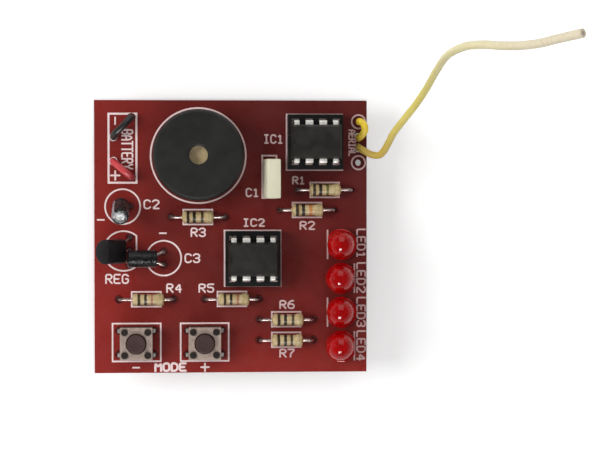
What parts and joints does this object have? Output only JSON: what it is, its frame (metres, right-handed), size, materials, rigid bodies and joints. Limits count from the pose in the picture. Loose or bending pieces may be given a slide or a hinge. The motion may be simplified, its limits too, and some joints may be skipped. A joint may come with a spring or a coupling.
{
  "type": "theremin",
  "caption": "Pocket theremin: square red circuit board with a round sounder, socketed chips, red lamps, push buttons, a stiff wire aerial and a stowed battery lead.",
  "frame": {"origin": "end of the connector's stud, under the middle of the board, on the surface that the connector rests on", "axes": "+X to the right and +Y up the board as its lettering reads, +Z out of its parts side and along the aerial's rise"},
  "size_m": [0.0718, 0.0572, 0.1002],
  "materials": {
    "board": "glossy red solder mask over glass laminate",
    "tinned": "bright tin plating",
    "solder": "shiny solder",
    "ink": "printed legend",
    "black_plastic": "moulded, satin",
    "chip_plastic": "moulded, fine texture",
    "disc_brass": "dull brass",
    "piezo_ceramic": "fired ceramic",
    "resistor_coat": "lacquered, with colour bands",
    "film_box": "moulded box",
    "can_metal": "bright drawn",
    "sleeve": "shrunk sleeve",
    "bung": "matt",
    "lens": "clear red resin",
    "cover_plate": "tinned sheet",
    "plunger": "moulded",
    "spring_steel": "polished",
    "aerial_cover": "yellow, paler along its length",
    "red_wire": "soft sleeve",
    "black_wire": "soft sleeve",
    "cover_vinyl": "soft vinyl",
    "plate_board": "pressed board",
    "terminal_metal": "nickel plated"
  },
  "bodies": {
    "board": {"circuit_board": "board", "solder_pads": "tinned", "solder_joints": "solder", "legend_outlines": "ink", "sounder_case": "black_plastic", "sounder_disc": "disc_brass", "sounder_ceramic": "piezo_ceramic", "sounder_base": "black_plastic", "sounder_pins": "tinned", "ic1_socket": "black_plastic", "ic2_socket": "black_plastic", "socket_contacts": "tinned", "ic1_chip": "chip_plastic", "ic2_chip": "chip_plastic", "chip_legs": "tinned", "resistor_r1": "resistor_coat", "resistor_r2": "resistor_coat", "resistor_r3": "resistor_coat", "resistor_r4": "resistor_coat", "resistor_r5": "resistor_coat", "resistor_r6": "resistor_coat", "resistor_r7": "resistor_coat", "resistor_leads": "tinned", "film_capacitor": "film_box", "capacitor_cans": "can_metal", "c2_sleeve": "sleeve", "c3_sleeve": "sleeve", "capacitor_bungs": "bung", "capacitor_leads": "tinned", "regulator_body": "chip_plastic", "regulator_legs": "tinned", "led1_lens": "lens", "led2_lens": "lens", "led3_lens": "lens", "led4_lens": "lens", "led_leadframes": "tinned", "minus_switch_base": "black_plastic", "minus_switch_cover": "cover_plate", "minus_dome": "spring_steel", "plus_switch_base": "black_plastic", "plus_switch_cover": "cover_plate", "plus_dome": "spring_steel", "switch_legs": "tinned", "aerial_insulation": "aerial_cover", "aerial_core": "tinned", "red_link": "red_wire", "red_lead": "red_wire", "red_lead_coil": "red_wire", "red_lead_end": "red_wire", "black_link": "black_wire", "black_lead": "black_wire", "black_lead_coil": "black_wire", "black_lead_end": "black_wire", "lead_tails": "tinned", "snap_cover": "cover_vinyl", "snap_plate": "plate_board", "snap_stud": "terminal_metal", "snap_socket": "terminal_metal"},
    "minus_plunger": {"minus_button": "plunger"},
    "plus_plunger": {"plus_button": "plunger"}
  },
  "joints": [
    {"name": "minus_press", "type": "slide", "parent": "board", "child": "minus_plunger", "axis": [0, 0, -1], "range_m": [0, 0.00025], "stiffness_N_per_m": 5000, "springref_m": -0.00005, "deforming": ["minus_dome"]},
    {"name": "plus_press", "type": "slide", "parent": "board", "child": "plus_plunger", "axis": [0, 0, -1], "range_m": [0, 0.00025], "stiffness_N_per_m": 5000, "springref_m": -0.00005, "deforming": ["plus_dome"]}
  ]
}
